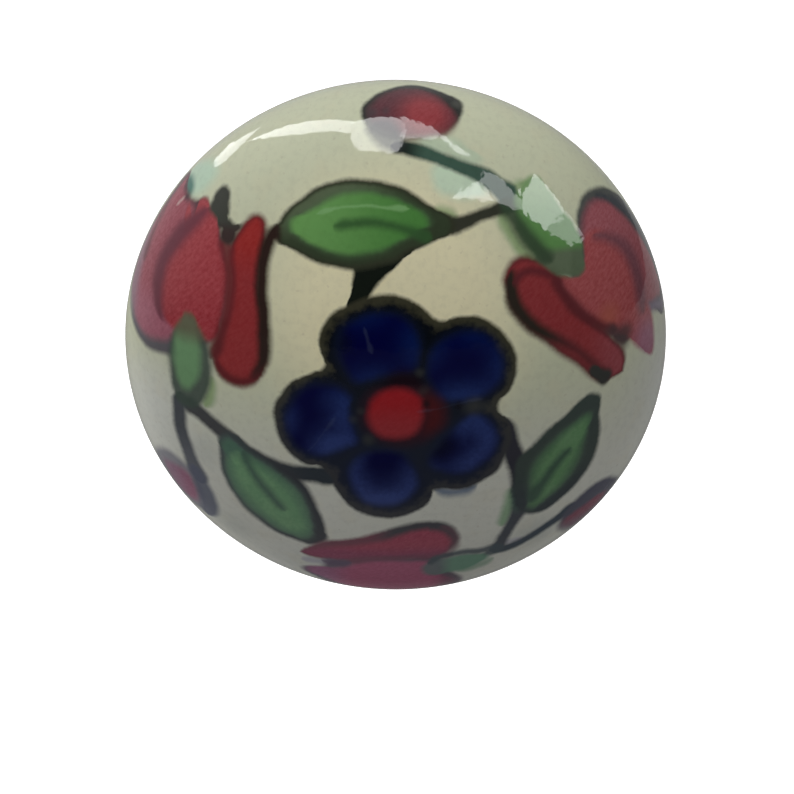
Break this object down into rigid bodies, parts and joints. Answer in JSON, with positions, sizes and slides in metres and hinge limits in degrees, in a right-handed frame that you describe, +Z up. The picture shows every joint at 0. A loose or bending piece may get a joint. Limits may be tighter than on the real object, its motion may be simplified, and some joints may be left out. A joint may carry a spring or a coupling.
{
  "type": "cabinet knob",
  "caption": "Round cabinet knob: a flattened glazed ceramic ball painted with flowers and leaves, on a plated metal base, with a threaded stud that goes through the drawer front.",
  "frame": {"origin": "centre of the base's foot ring, in the plane where it seats on the drawer front", "axes": "+Y along the stud, into the drawer front; the painted dome faces -Y; +Z is up"},
  "size_m": [0.04, 0.0571, 0.04],
  "materials": {
    "painted_glaze": "clear glossy glaze over brushed colours on an ivory ground",
    "plated_base": "nickel plate, softly polished",
    "zinc_steel": "bright zinc plate on steel",
    "cement": "matt bonding cement"
  },
  "bodies": {
    "root": {"ceramic_head": "painted_glaze", "base_rosette": "plated_base", "mounting_stud": "zinc_steel", "cement_plug": "cement"}
  },
  "joints": []
}
